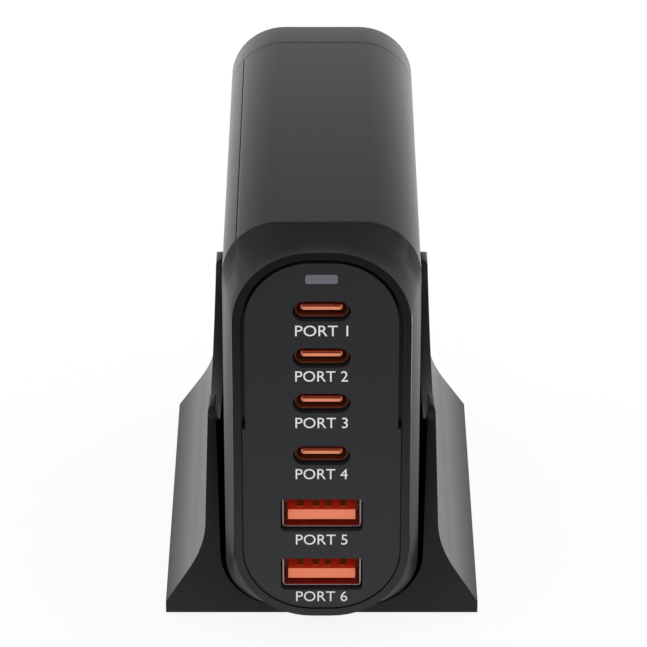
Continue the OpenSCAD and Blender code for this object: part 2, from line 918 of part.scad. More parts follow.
module bridge_rectifier() {
    color("#1d1d1f") placed() board_block(bridge_run, bridge_rise, [0, bridge_deep]);
}

module heat_sink() {
    color("#a9adb0") placed() board_block(sink_run, sink_rise, [0, sink_deep]);
}

module power_transistors() {
    color("#1b1c1e") placed() for (run = transistor_runs)
        board_block(run, transistor_rise, transistor_deep);
}

module thermal_pad() {
    pad_margin = 0.045 * core_h;
    color("#8fa0ad") placed() translate([sheet_x, core_y + pad_margin, core_z + pad_margin])
        cube([thermal_pad_t, core_d - 2 * pad_margin, core_h - 2 * pad_margin]);
}

module insulation_sheet() {
    bend_gap = 0.5;
    edge = corner_r + bend_gap;
    end_gap = 4;
    color("#d8d2bd") placed() translate([-cavity_x, main_board_y, body_z + edge])
        cube([sheet_t, cap_y - end_gap - main_board_y, body_h - 2 * edge]);
}

// The figure of eight that the mains lead plugs into
module inlet_socket_outline() {
    lobe_r = 4.1;
    lobe_x = 3.2;
    waist_h = 7.2;
    for (side = [-1, 1]) translate([side * lobe_x, 0]) circle(r = lobe_r);
    square([2 * lobe_x, waist_h], center = true);
}

module inlet_body() {
    pin_fit = 0.01;
    flange = 1;
    flange_t = 1.2;
    color("#1c1d1f") placed() translate([0, 0, inlet_z]) difference() {
        union() {
            drawn_back(inlet_y, body_d) inlet_outline();
            drawn_back(body_d - wall - flange_t, body_d - wall) inlet_outline(flange);
        }
        drawn_back(body_d - inlet_socket_d, body_d + 1) inlet_socket_outline();
        for (side = [-1, 1]) translate([side * pin_pitch / 2, body_d, 0])
            rotate([90, 0, 0]) cylinder(h = inlet_d + 1, d = pin_dia + 2 * pin_fit);
    }
}

module inlet_pins() {
    pin_recess = 1.8;
    pin_tip = 0.6;
    pin_taper = 1;
    pin_len = inlet_d - pin_recess + tail_len;
    color(steel_color) placed() for (side = [-1, 1])
        translate([side * pin_pitch / 2, body_d - pin_recess, inlet_z]) rotate([90, 0, 0]) {
            translate([0, 0, pin_tip]) cylinder(h = pin_len - pin_tip, d = pin_dia);
            cylinder(h = pin_tip, d1 = pin_dia - pin_taper, d2 = pin_dia);
        }
}

// Two stiff wires from the pins' tails to the main board
module inlet_leads() {
    lead_r = 0.7;
    right_drop = 2.4;
    left_drop = 5.6;
    color("#b87333") placed() for (side = [-1, 1]) {
        drop = side > 0 ? right_drop : left_drop;
        lead_x = side * pin_pitch / 2;
        lead_y = inlet_y - tail_len - drop;
        union() {
            translate([lead_x, inlet_y - tail_len, inlet_z])
                rotate([90, 0, 0]) cylinder(h = drop, r = lead_r);
            translate([lead_x, lead_y, inlet_z]) {
                sphere(r = lead_r);
                rotate([0, 90, 0]) cylinder(h = main_x - lead_x, r = lead_r);
            }
        }
    }
}

// Half-width of the stand's outside at a height: a slope, a bend and an upright
flare_slope = tan(flare_angle);
flare_mid_z = edge_z + (foot_x - waist_x) / flare_slope;
flare_start_z = 2 * flare_mid_z - flare_top;

function stand_out_x(z) =
    z <= flare_start_z ? foot_x - (z - edge_z) * flare_slope
    : z <= flare_top
        ? let (t = (z - flare_start_z) / (flare_top - flare_start_z),
               a = foot_x - (flare_start_z - edge_z) * flare_slope)
          lerp(lerp(a, waist_x, t), waist_x, t)
        : lerp(waist_x, horn_x, (z - flare_top) / (stand_h - flare_top));

function stand_outside_half(inset) = concat(
    [[foot_x - inset, pad_proud], [foot_x - inset, edge_z]],
    [
        for (i = [0 : flare_steps])
            let (z = lerp(flare_start_z, flare_top, i / flare_steps))
            [stand_out_x(z) - inset, z]
    ]
);

// Half of the saddle, from its flat floor out to a horn's top
function saddle_half(grow) = concat(
    arc(flat_x, bend_z, saddle_rx + grow, corner_r + grow, -90, 0, saddle_steps),
    [[horn_in_x + grow, stand_h]]
);

function flipped(points) = [for (i = [len(points) - 1 : -1 : 0]) [-points[i][0], points[i][1]]];

// The whole cross section: outside up one side, then down through the saddle
horn_out_r = 0.6 * horn_t;
horn_in_r = 0.3 * horn_t;
stand_half = concat(
    stand_outside_half(0),
    arc(horn_x - horn_out_r, stand_h - horn_out_r, horn_out_r, horn_out_r, 0, 90, horn_steps),
    arc(horn_in_x + horn_in_r, stand_h - horn_in_r, horn_in_r, horn_in_r, 90, 180, horn_steps),
    [for (i = [saddle_steps : -1 : 0]) saddle_half(0)[i]]
);

module stand_section() {
    polygon(concat(stand_half, flipped(stand_half)));
}

// The stand seen from its side, with leaning ends and a scoop between the horns
module stand_side() {
    outer_r = 2.2;
    inner_r = 0.8;
    inner_end = 10;
    scoop_skip = 4;
    top_y = -stand_d / 2 + end_lean;
    front = concat(
        [[-stand_d / 2, pad_proud], [-stand_d / 2, edge_z]],
        arc(top_y + outer_r, stand_h - outer_r, outer_r, outer_r, 180, 90, horn_steps),
        arc(-scoop_a - inner_r, stand_h - inner_r, inner_r, inner_r, 90, inner_end, horn_steps)
    );
    scoop = arc(0, stand_h, scoop_a, scoop_b, 180 + scoop_skip, 360 - scoop_skip, scoop_steps);
    polygon(concat(front, scoop, flipped(front)));
}

// The saddle's half-width above its bend
function saddle_x(z) = lerp(flat_x + saddle_rx, horn_in_x, (z - bend_z) / (stand_h - bend_z));

// The hollow under one flare, which follows the flare and the saddle and ends where they meet
module flare_hollow() {
    skin = stand_wall / cos(flare_angle);
    saddle = [for (i = [0 : saddle_steps]) saddle_half(stand_wall)[i]];
    outer = [
        for (p = stand_outside_half(skin))
            if (p[1] <= bend_z || p[0] > saddle_x(p[1]) + stand_wall) p
    ];
    polygon(concat(
        [[flat_x, 0]],
        saddle,
        [for (i = [len(outer) - 1 : -1 : 1]) outer[i]],
        [[outer[0][0], 0]]
    ));
}

// The room for the hollows seen from the side, whose ends lean as the stand's do
module hollow_side() {
    end = stand_d / 2 - stand_wall / cos(atan(end_lean / stand_h));
    polygon([
        [-end, -1],
        [-end, edge_z],
        [-end + end_lean, stand_h],
        [end - end_lean, stand_h],
        [end, edge_z],
        [end, -1]
    ]);
}

module flare_hollows() {
    cell_d = (stand_d - 2 * stand_wall - rib_count * rib_t) / (rib_count + 1);
    first_y = stand_y + stand_wall;
    intersection() {
        for (cell = [0 : rib_count], side = [0, 1])
            mirror([side, 0, 0])
                drawn_back(first_y + cell * (cell_d + rib_t), first_y + cell * (cell_d + rib_t) + cell_d)
                    flare_hollow();
        translate([0, stand_mid_y, 0]) drawn_across(-foot_x, foot_x) hollow_side();
    }
}

module at_pads() {
    for (x = [-1, 1], y = [-1, 1])
        translate([x * (foot_x - pad_inset_x), stand_mid_y + y * (stand_d / 2 - pad_inset_y), 0]) children();
}

module stand() {
    pad_gap = 0.05;
    pad_skirt = 1;
    pad_boss = pad_dia / 2 + pad_skirt;
    color(stand_color) placed() difference() {
        intersection() {
            drawn_back(stand_y, stand_y + stand_d) stand_section();
            translate([0, stand_mid_y, 0]) drawn_across(-foot_x, foot_x) stand_side();
        }
        difference() {
            flare_hollows();
            at_pads() cylinder(h = far, r = pad_boss);
        }
        at_pads() cylinder(h = pad_t, d = pad_dia + 2 * pad_gap);
    }
}

module stand_pads() {
    color("#1a1a1a") placed() at_pads() cylinder(h = pad_t, d = pad_dia);
}

main_shell();
side_cover();
rear_cap();
front_panel();
light_guide();
status_light();
usb_c_shell(0);  // usb_c_shell_1
usb_c_shell(1);  // usb_c_shell_2
usb_c_shell(2);  // usb_c_shell_3
usb_c_shell(3);  // usb_c_shell_4
usb_c_tongue(0);  // usb_c_tongue_1
usb_c_tongue(1);  // usb_c_tongue_2
usb_c_tongue(2);  // usb_c_tongue_3
usb_c_tongue(3);  // usb_c_tongue_4
usb_c_contacts();
usb_a_shell(0);  // usb_a_shell_1
usb_a_shell(1);  // usb_a_shell_2
usb_a_tongue(0);  // usb_a_tongue_1
usb_a_tongue(1);  // usb_a_tongue_2
usb_a_contacts();
port_board();
port_screws();
port_coils();
port_chips();
board_link();
main_board();
board_screws();
transformer_core();
transformer_winding();
choke_core();
choke_winding();
bulk_capacitors();
output_capacitors();
film_capacitor();
fuse();
bridge_rectifier();
heat_sink();
power_transistors();
thermal_pad();
insulation_sheet();
inlet_body();
inlet_pins();
inlet_leads();
stand();
stand_pads();
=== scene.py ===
"""Dresses the desktop charger and its stand, and sets the studio round them.

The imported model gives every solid. Each sub-assembly below rounds its own edges,
gives its nodes their finishes and adds what is printed on top of them. All lengths
are metres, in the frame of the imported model: the front faces -Y, and Z is up.
"""

import logging
import math
from dataclasses import dataclass, field
from enum import Enum

import bpy
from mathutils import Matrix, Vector


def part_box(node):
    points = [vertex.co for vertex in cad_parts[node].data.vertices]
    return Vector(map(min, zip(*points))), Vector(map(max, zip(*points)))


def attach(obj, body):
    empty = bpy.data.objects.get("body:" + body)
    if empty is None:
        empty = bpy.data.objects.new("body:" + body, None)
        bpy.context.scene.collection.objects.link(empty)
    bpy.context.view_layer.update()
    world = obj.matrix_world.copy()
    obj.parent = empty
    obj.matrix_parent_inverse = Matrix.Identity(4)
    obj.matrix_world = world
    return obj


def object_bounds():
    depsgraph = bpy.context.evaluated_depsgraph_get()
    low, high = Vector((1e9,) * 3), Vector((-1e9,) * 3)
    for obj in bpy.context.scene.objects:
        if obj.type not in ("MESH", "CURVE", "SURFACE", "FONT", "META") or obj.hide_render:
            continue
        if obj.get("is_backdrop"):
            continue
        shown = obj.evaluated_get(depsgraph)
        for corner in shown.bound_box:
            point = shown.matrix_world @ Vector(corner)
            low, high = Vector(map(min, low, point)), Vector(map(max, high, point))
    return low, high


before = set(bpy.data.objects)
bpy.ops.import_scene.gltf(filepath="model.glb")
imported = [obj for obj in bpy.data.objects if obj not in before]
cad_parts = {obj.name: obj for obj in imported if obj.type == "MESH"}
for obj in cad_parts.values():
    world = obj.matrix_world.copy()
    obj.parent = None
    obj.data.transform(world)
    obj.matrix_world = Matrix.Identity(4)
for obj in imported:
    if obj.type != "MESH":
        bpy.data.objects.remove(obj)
log = logging.getLogger("charger")

MM = 0.001
BODY = "root"

# Where the front rim of the housing is along Y, and the crease behind its nose
RIM_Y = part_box("main_shell")[0].y
CREASE_Y = RIM_Y + 5.4 * MM

Colour = tuple[float, float, float]
Place = tuple[float, float, float]
Output = bpy.types.NodeSocket
Input = Output | float | str | tuple[float, ...]

WHITE = (1, 1, 1, 1)


def tone(red: float, green: float, blue: float) -> Colour:
    """Turns a colour as a screen shows it into the linear colour that a shader takes.

    Args:
        red: Red from 0 to 255.
        green: Green from 0 to 255.
        blue: Blue from 0 to 255.

    Returns:
        The linear colour.
    """
    def linear(value: float) -> float:
        """Turns one channel from 0 to 255 into its linear value."""
        v = value / 255
        return v / 12.92 if v <= 0.04045 else ((v + 0.055) / 1.055) ** 2.4

    return linear(red), linear(green), linear(blue)


@dataclass(frozen=True)
class Wiring:
    """Adds nodes to a node tree and links them.

    Attributes:
        tree: The tree of a material, of the world or of a modifier.
    """

    tree: bpy.types.NodeTree

    def fill(self, socket: bpy.types.NodeSocket, value: Input) -> None:
        """Links an output to a node's socket, or sets the socket to a plain value.

        Args:
            socket: The socket.
            value: The output or the plain value.
        """
        if isinstance(value, bpy.types.NodeSocket):
            self.tree.links.new(value, socket)
        else:
            socket.default_value = value

    def add(
        self, kind: str, inputs: dict[str | int, Input] | None = None, **settings: object
    ) -> bpy.types.Node:
        """Adds a node and fills its sockets.

        Args:
            kind: The node's type.
            inputs: What goes into its sockets, by their names or numbers.
            settings: The node's own settings, which are made first.

        Returns:
            The node.
        """
        node = self.tree.nodes.new(kind)
        for name, choice in settings.items():
            setattr(node, name, choice)
        for socket, value in (inputs or {}).items():
            self.fill(node.inputs[socket], value)
        return node

    def maths(self, operation: str, first: Input, second: Input = 0.0) -> Output:
        """Reckons with one or two values."""
        return self.add("ShaderNodeMath", {0: first, 1: second}, operation=operation).outputs[0]

    def vectors(self, operation: str, first: Input, second: Input = (0, 0, 0)) -> bpy.types.Node:
        """Reckons with one or two vectors."""
        return self.add("ShaderNodeVectorMath", {0: first, 1: second}, operation=operation)

    def scaled(self, vector: Input, factor: Input) -> Output:
        """Scales a vector by a value."""
        sockets = {0: vector, "Scale": factor}
        return self.add("ShaderNodeVectorMath", sockets, operation="SCALE").outputs["Vector"]

    def parts(self, vector: Input) -> bpy.types.Node:
        """Splits a vector into its X, Y and Z."""
        return self.add("ShaderNodeSeparateXYZ", {0: vector})

    def spread(
        self, value: Input, ends: tuple[Input, Input], goes: tuple[Input, Input] = (0.0, 1.0)
    ) -> Output:
        """Maps a value from one range onto another, and stops at its ends.

        Args:
            value: The value.
            ends: The range that it comes from.
            goes: The range that it goes to.

        Returns:
            The value in its new range.
        """
        names = ("Value", "From Min", "From Max", "To Min", "To Max")
        sockets = dict(zip(names, (value, *ends, *goes)))
        return self.add("ShaderNodeMapRange", sockets).outputs["Result"]


class Grain(Enum):
    """The kinds of surface that the charger's parts have, and one kind of painted light and
    shade.
    """

    MOULDED = "moulded"
    POLISHED = "polished"
    DRAWN = "drawn"
    WOUND = "wound"
    MASKED = "masked"
    # Painted light and shade: faces are coloured by which way they look, not by their material
    PAINTED_LIGHT_BY_FACING = "lit edge"
    PLAIN = "plain"


@dataclass(frozen=True)
class Finish:
    """A material of the charger.

    Attributes:
        name: The material's name.
        colour: Linear base colour.
        roughness: Roughness from 0 to 1.
        metallic: 1 for bare metal.
        specular: Specular level, where 0.5 is common plastic.
        grain: The kind of surface.
        grain_size: Size of one grain, track or turn of wire.
        grain_depth: Depth of the grain.
        second: The other colour: the tracks' colour on a board, the painted shade between turns
            of a winding, and the colour that paints light and shade on faces that look to the
            front.
        coat: Strength of a clear coat.
        drift: How much the roughness of a handled surface drifts, as a share.
        drift_size: Size of a patch of that drift.
        draw: How a drawn grain is stretched along X, Y and Z.
        wander: How much the turns of a winding wander.
        front: The share of -Y in a face's normal, from which painted light by facing takes
        its second colour, and at which it has it all.
    """

    name: str
    colour: Colour
    roughness: float
    metallic: float = 0.0
    specular: float = 0.5
    grain: Grain = Grain.PLAIN
    grain_size: float = 0.4 * MM
    grain_depth: float = 0.004 * MM
    second: Colour | None = None
    coat: float = 0.0
    drift: float = 0.07
    drift_size: float = 14 * MM
    draw: Place = (1, 0.08, 1)
    wander: float = 0.4
    front: tuple[float, float] = (0.85, 0.97)

    def material(self) -> bpy.types.Material:
        """Builds the material, or finds it if it is there already.

        Returns:
            The Blender material.
        """
        name = f"look_{self.name}"
        made = bpy.data.materials.get(name)
        if made:
            return made
        made = bpy.data.materials.new(name)
        made.use_nodes = True
        made.diffuse_color = (*self.colour, 1)
        shader = made.node_tree.nodes["Principled BSDF"]
        shader.inputs["Base Color"].default_value = (*self.colour, 1)
        shader.inputs["Roughness"].default_value = self.roughness
        shader.inputs["Metallic"].default_value = self.metallic
        shader.inputs["Specular IOR Level"].default_value = self.specular
        shader.inputs["Coat Weight"].default_value = self.coat
        self._add_grain(Wiring(made.node_tree), shader)
        return made

    def _add_grain(self, wiring: Wiring, shader: bpy.types.Node) -> None:
        """Adds what the kind of surface asks for.

        Args:
            wiring: The material's nodes.
            shader: Its shader.
        """
        if self.grain in (Grain.MOULDED, Grain.POLISHED):
            self._let_roughness_drift(wiring, shader)
        if self.grain is Grain.MOULDED:
            self._raise(wiring, shader, self._noise(wiring, self.grain_size))
        elif self.grain is Grain.DRAWN:
            self._raise(wiring, shader, self._noise(wiring, self.grain_size, self.draw))
        elif self.grain is Grain.WOUND:
            self._wind(wiring, shader)
        elif self.grain is Grain.MASKED:
            self._lay_tracks(wiring, shader)
        elif self.grain is Grain.PAINTED_LIGHT_BY_FACING:
            self._paint_light_by_facing(wiring, shader)

    def _noise(self, wiring: Wiring, size: float, stretch: Place = (1, 1, 1)) -> Output:
        """Adds a noise texture in the part's own frame.

        Args:
            wiring: The material's nodes.
            size: Size of one grain.
            stretch: How the texture's coordinates are scaled along X, Y and Z.

        Returns:
            The noise's value.
        """
        place = wiring.add("ShaderNodeTexCoord").outputs["Object"]
        stretched = wiring.vectors("MULTIPLY", place, stretch).outputs["Vector"]
        sockets = {"Vector": stretched, "Scale": 1 / size, "Detail": 3}
        return wiring.add("ShaderNodeTexNoise", sockets).outputs["Fac"]

    def _let_roughness_drift(self, wiring: Wiring, shader: bpy.types.Node) -> None:
        """Lets the roughness drift a little, as on handled plastic.

        Args:
            wiring: The material's nodes.
            shader: Its shader.
        """
        least, most = self.roughness * (1 - self.drift), self.roughness * (1 + self.drift)
        drift = self._noise(wiring, self.drift_size)
        wiring.fill(shader.inputs["Roughness"], wiring.spread(drift, (0.0, 1.0), (least, most)))

    def _raise(self, wiring: Wiring, shader: bpy.types.Node, height: Output) -> None:
        """Raises the surface by a texture's value.

        Args:
            wiring: The material's nodes.
            shader: Its shader.
            height: The texture's value.
        """
        sockets = {"Strength": 1, "Distance": self.grain_depth, "Height": height}
        bump = wiring.add("ShaderNodeBump", sockets)
        wiring.fill(shader.inputs["Normal"], bump.outputs["Normal"])

    def _mix(
        self, wiring: Wiring, shader: bpy.types.Node, factor: Output, low: Colour, high: Colour
    ) -> None:
        """Mixes two colours into the surface.

        Args:
            wiring: The material's nodes.
            shader: Its shader.
            factor: The share of the second colour.
            low: The first colour.
            high: The second colour.
        """
        sockets = {"Factor": factor, "A": (*low, 1), "B": (*high, 1)}
        mix = wiring.add("ShaderNodeMix", sockets, data_type="RGBA")
        wiring.fill(shader.inputs["Base Color"], mix.outputs["Result"])

    def _wind(self, wiring: Wiring, shader: bpy.types.Node) -> None:
        """Stripes the surface with turns of wire, and paints shade into the grooves between them.

        Args:
            wiring: The material's nodes.
            shader: Its shader.
        """
        place = wiring.add("ShaderNodeTexCoord").outputs["Object"]
        scale = 1 / (self.grain_size * 2 * math.pi)
        sockets = {"Vector": place, "Scale": scale, "Distortion": self.wander}
        turns = wiring.add("ShaderNodeTexWave", sockets, bands_direction="Y").outputs["Fac"]
        self._raise(wiring, shader, turns)
        # Painted shade: the low parts between the turns take the darker colour
        self._mix(wiring, shader, turns, self.second or self.colour, self.colour)

    def _lay_tracks(self, wiring: Wiring, shader: bpy.types.Node) -> None:
        """Lets copper tracks show as darker and lighter patches under a board's mask.

        Args:
            wiring: The material's nodes.
            shader: Its shader.
        """
        place = wiring.add("ShaderNodeTexCoord").outputs["Object"]
        sockets = {"Vector": place, "Scale": 1 / self.grain_size}
        cells = wiring.add("ShaderNodeTexVoronoi", sockets, distance="MANHATTAN")
        tracks = cells.outputs["Distance"]
        self._mix(wiring, shader, tracks, self.colour, self.second or self.colour)

    def _paint_light_by_facing(self, wiring: Wiring, shader: bpy.types.Node) -> None:
        """Paints light and shade by facing: the faces that look to the front take the second
        colour.

        Args:
            wiring: The material's nodes.
            shader: Its shader.
        """
        facing = wiring.parts(wiring.add("ShaderNodeNewGeometry").outputs["Normal"])
        # Painted light: the share of -Y in the normal picks the second colour, which stands in
        # for light and shade
        begins, full = self.front
        share = wiring.spread(facing.outputs["Y"], (-begins, -full))
        self._mix(wiring, shader, share, self.colour, self.second or self.colour)


HOUSING = Finish(
    "housing_plastic", tone(17, 17, 19), 0.26, specular=0.4, grain=Grain.MOULDED
)
PANEL = Finish(
    "panel_plastic", tone(38, 39, 42), 0.5, specular=0.35,
    grain=Grain.MOULDED, grain_size=0.3 * MM,
)
STAND = Finish(
    "stand_plastic", tone(27, 28, 29), 0.26, specular=0.2, grain=Grain.MOULDED
)
RUBBER = Finish("rubber", tone(24, 24, 25), 0.8, specular=0.3)
INLET = Finish("inlet_plastic", tone(28, 29, 31), 0.4, grain=Grain.MOULDED)
PRINT = Finish("print", tone(236, 237, 239), 0.55)
# Painted highlight: the bar's bevelled edges are painted pale; its faces that look to the front
# keep the darker grey
LIGHT_BAR = Finish(
    "light_bar", tone(176, 178, 186), 0.3, coat=0.2,
    grain=Grain.PAINTED_LIGHT_BY_FACING, second=tone(108, 110, 120),
)
LIGHT_CHIP = Finish("light_chip", tone(232, 234, 216), 0.3)

# Painted light: the tongues' faces that look to the front are painted pale peach as lit faces;
# the rest keeps the red of the plastic
SLIM_TONGUE = Finish(
    "slim_tongue", tone(206, 66, 26), 0.38,
    grain=Grain.PAINTED_LIGHT_BY_FACING, second=tone(255, 158, 118),
)
WIDE_TONGUE = Finish(
    "wide_tongue", tone(255, 58, 26), 0.38,
    grain=Grain.PAINTED_LIGHT_BY_FACING, second=tone(255, 138, 98),
)
# Painted highlight: the lips' faces that look to the front are painted a pale warm pink, tinted
# as light off the red tongues
SOCKET_STEEL = Finish(
    "socket_steel", tone(206, 203, 204), 0.26, metallic=1,
    grain=Grain.PAINTED_LIGHT_BY_FACING, second=tone(170, 144, 140),
)
# Painted reflection: the steel shells are painted warm orange-brown for the orange light of the
# tongues inside them, and their faces that look to the front are painted a darker brown
SLIM_STEEL = Finish(
    "slim_socket_steel", tone(196, 140, 104), 0.45, metallic=1,
    grain=Grain.PAINTED_LIGHT_BY_FACING, second=tone(104, 72, 62),
)
CONTACT_GOLD = Finish("contact_gold", tone(226, 190, 112), 0.28, metallic=1)
# Painted shade: the slim sockets' gold contacts are painted a dark orange-brown, as they look in
# the dim orange light inside the sockets
SLIM_CONTACT = Finish("slim_contact", tone(128, 62, 30), 0.4, metallic=1)

SCREW_STEEL = Finish(
    "screw_steel", tone(190, 190, 192), 0.3, metallic=1, grain=Grain.DRAWN
)
# Painted shade: the darker second colour fills the grooves between the turns of wire
COPPER = Finish(
    "copper_wire", tone(186, 108, 54), 0.32, metallic=0.7,
    grain=Grain.WOUND, grain_depth=0.12 * MM, second=tone(104, 52, 24),
)
BOARD = Finish(
    "board_mask", tone(30, 88, 58), 0.34,
    grain=Grain.MASKED, grain_size=3 * MM, second=tone(20, 66, 42),
)
CHIP = Finish(
    "chip_epoxy", tone(26, 26, 28), 0.55, grain=Grain.MOULDED, grain_size=0.2 * MM
)
FERRITE = Finish("ferrite", tone(56, 56, 58), 0.6, grain=Grain.MOULDED)
COATED_CORE = Finish("coated_core", tone(74, 104, 80), 0.45)
COIL_TAPE = Finish("coil_tape", tone(214, 160, 64), 0.4, grain=Grain.POLISHED)
COIL_BLOCK = Finish("coil_block", tone(88, 90, 94), 0.5)
CAN_SLEEVE = Finish("can_sleeve", tone(34, 52, 84), 0.36, grain=Grain.POLISHED)
CAN = Finish("bare_can", tone(168, 172, 178), 0.3, metallic=1, grain=Grain.DRAWN)
FILM = Finish("film_case", tone(206, 164, 52), 0.42)
FUSE = Finish("fuse_ceramic", tone(222, 216, 202), 0.4)
SINK = Finish(
    "sink_aluminium", tone(178, 182, 186), 0.34, metallic=1, grain=Grain.DRAWN
)
THERMAL = Finish("thermal_pad", tone(146, 164, 178), 0.75)
FISH_PAPER = Finish("insulating_paper", tone(214, 206, 184), 0.8, grain=Grain.POLISHED)


def mesh_group(name: str) -> tuple[bpy.types.GeometryNodeTree, Output, bpy.types.NodeSocket]:
    """Makes an empty node group for a modifier.

    Args:
        name: The group's name.

    Returns:
        The group, the mesh that comes in, and the socket for the mesh that goes out.
    """
    group = bpy.data.node_groups.new(name, "GeometryNodeTree")
    for way in ("INPUT", "OUTPUT"):
        group.interface.new_socket("Geometry", in_out=way, socket_type="NodeSocketGeometry")
    start = group.nodes.new("NodeGroupInput")
    end = group.nodes.new("NodeGroupOutput")
    return group, start.outputs[0], end.inputs[0]


@dataclass(frozen=True)
class Seam:
    """Where the side cover meets the main shell, seen from above.

    Attributes:
        side_x: The seam's place along X behind the crease.
        rim_x: Its place along X at the front rim.
        reach: How near an edge lies to belong to the seam.
        share: Width of the seam's soft edges, as a share of the others.
        nose_share: The same on the nose, where the seam catches the light.
    """

    side_x: float = -13.6 * MM
    rim_x: float = -11.7 * MM
    reach: float = 0.2 * MM
    share: float = 0.25
    nose_share: float = 0.8

    def edge_widths(self, sharp: float) -> bpy.types.GeometryNodeTree:
        """Makes or finds the node group that marks how wide each soft edge is.

        Args:
            sharp: Angle in degrees above which an edge is softened.

        Returns:
            The node group.
        """
        name = "seam_edges"
        if name in bpy.data.node_groups:
            return bpy.data.node_groups[name]
        group, mesh, done = mesh_group(name)
        wiring = Wiring(group)
        place = wiring.parts(wiring.add("GeometryNodeInputPosition").outputs["Position"])
        along = place.outputs["Y"]
        line = wiring.spread(along, (CREASE_Y, RIM_Y), (self.side_x, self.rim_x))
        away = wiring.maths("ABSOLUTE", wiring.maths("SUBTRACT", place.outputs["X"], line))
        far = wiring.maths("GREATER_THAN", away, self.reach)
        near_width = wiring.spread(
            along, (CREASE_Y, CREASE_Y - self.reach), (self.share, self.nose_share)
        )
        width = wiring.spread(far, (0.0, 1.0), (near_width, 1.0))
        angle = wiring.add("GeometryNodeInputMeshEdgeAngle").outputs["Unsigned Angle"]
        corner = wiring.maths("GREATER_THAN", angle, math.radians(sharp))
        store = wiring.add(
            "GeometryNodeStoreNamedAttribute",
            {
                "Geometry": mesh,
                "Name": "bevel_weight_edge",
                "Value": wiring.maths("MULTIPLY", width, corner),
            },
            data_type="FLOAT",
            domain="EDGE",
        )
        wiring.fill(done, store.outputs["Geometry"])
        return group


@dataclass(frozen=True)
class Lean:
    """A band of faces that is shaded as if it leant over more than it does.

    Attributes:
        name: The band's name.
        axis: The axis across the band, as a letter.
        fade: Where the band begins to show along that axis.
        start: Where it has its full strength.
        end: Where it ends.
        start_angle: How far its shading leans at the start, in degrees from the side.
        end_angle: How far it leans at the end.
        toward: The direction that it leans to.
        least: The least share of that direction in the normal of the band's faces.
        most: The largest share.
        foot_angle: How much further it leans at the foot, in degrees.
        foot_from: The height from which it leans further, going down.
        foot_to: The height where it has leant all the way.
        outward: How far a face has to look out to the side to belong to the band, from
            not at all to wholly.
        under: How much a face that looks down counts as one that looks out.
    """

    name: str
    axis: str
    fade: float
    start: float
    end: float
    start_angle: float
    end_angle: float
    toward: Place
    least: float
    most: float
    foot_angle: float = 0.0
    foot_from: float = 20 * MM
    foot_to: float = 7 * MM
    outward: tuple[float, float] = (0.5, 0.9)
    under: float = 0.55

    def _angle(self, wiring: Wiring, place: bpy.types.Node) -> Output:
        """Works out how far the shading leans at each corner of a face.

        Args:
            wiring: The nodes of the modifier.
            place: The node that gives the corner's X, Y and Z.

        Returns:
            The angle in radians.
        """
        across = wiring.spread(
            place.outputs[self.axis],
            (self.start, self.end),
            (math.radians(self.start_angle), math.radians(self.end_angle)),
        )
        foot = wiring.spread(
            place.outputs["Z"],
            (self.foot_from, self.foot_to),
            (0.0, math.radians(self.foot_angle)),
        )
        return wiring.maths("ADD", across, foot)

    def _weight(
        self, wiring: Wiring, place: bpy.types.Node, side: Output, share: Output
    ) -> Output:
        """Works out how much each corner of a face belongs to the band.

        Args:
            wiring: The nodes of the modifier.
            place: The node that gives the corner's X, Y and Z.
            side: The face's normal without the direction that the band leans to.
            share: The share of that direction in the face's normal.

        Returns:
            A value from 0 to 1.
        """
        looks = wiring.parts(side)
        out = wiring.maths(
            "MULTIPLY", looks.outputs["X"], wiring.maths("SIGN", place.outputs["X"])
        )
        down = wiring.maths(
            "MULTIPLY", wiring.maths("MINIMUM", looks.outputs["Z"], 0.0), -self.under
        )
        weight = wiring.maths(
            "MULTIPLY",
            wiring.spread(wiring.maths("ADD", out, down), self.outward),
            wiring.spread(place.outputs[self.axis], (self.fade, self.start)),
        )
        for kind, bound in (("GREATER_THAN", self.least), ("LESS_THAN", self.most)):
            weight = wiring.maths("MULTIPLY", weight, wiring.maths(kind, share, bound))
        return weight

    def turn(self, wiring: Wiring, mesh: Output) -> Output:
        """Adds the nodes that turn the band's normals.

        Args:
            wiring: The nodes of the modifier.
            mesh: The mesh that comes in.

        Returns:
            The mesh with the band's normals turned.
        """
        facing = wiring.add("GeometryNodeInputNormal")
        usual, plane = facing.outputs["Normal"], facing.outputs["True Normal"]
        place = wiring.parts(wiring.add("GeometryNodeInputPosition").outputs["Position"])
        share = wiring.vectors("DOT_PRODUCT", plane, self.toward).outputs["Value"]
        rest = wiring.vectors("SUBTRACT", plane, wiring.scaled(self.toward, share))
        side = wiring.vectors("NORMALIZE", rest.outputs["Vector"]).outputs["Vector"]
        angle = self._angle(wiring, place)
        turned = wiring.vectors(
            "ADD",
            wiring.scaled(side, wiring.maths("COSINE", angle)),
            wiring.scaled(self.toward, wiring.maths("SINE", angle)),
        )
        change = wiring.scaled(
            wiring.vectors("SUBTRACT", turned.outputs["Vector"], usual).outputs["Vector"],
            self._weight(wiring, place, side, share),
        )
        mixed = wiring.vectors("ADD", usual, change).outputs["Vector"]
        normals = wiring.add("GeometryNodeSetMeshNormal", mode="FREE", domain="CORNER")
        wiring.fill(normals.inputs["Mesh"], mesh)
        wiring.fill(
            normals.inputs["Custom Normal"],
            wiring.vectors("NORMALIZE", mixed).outputs["Vector"],
        )
        return normals.outputs[0]


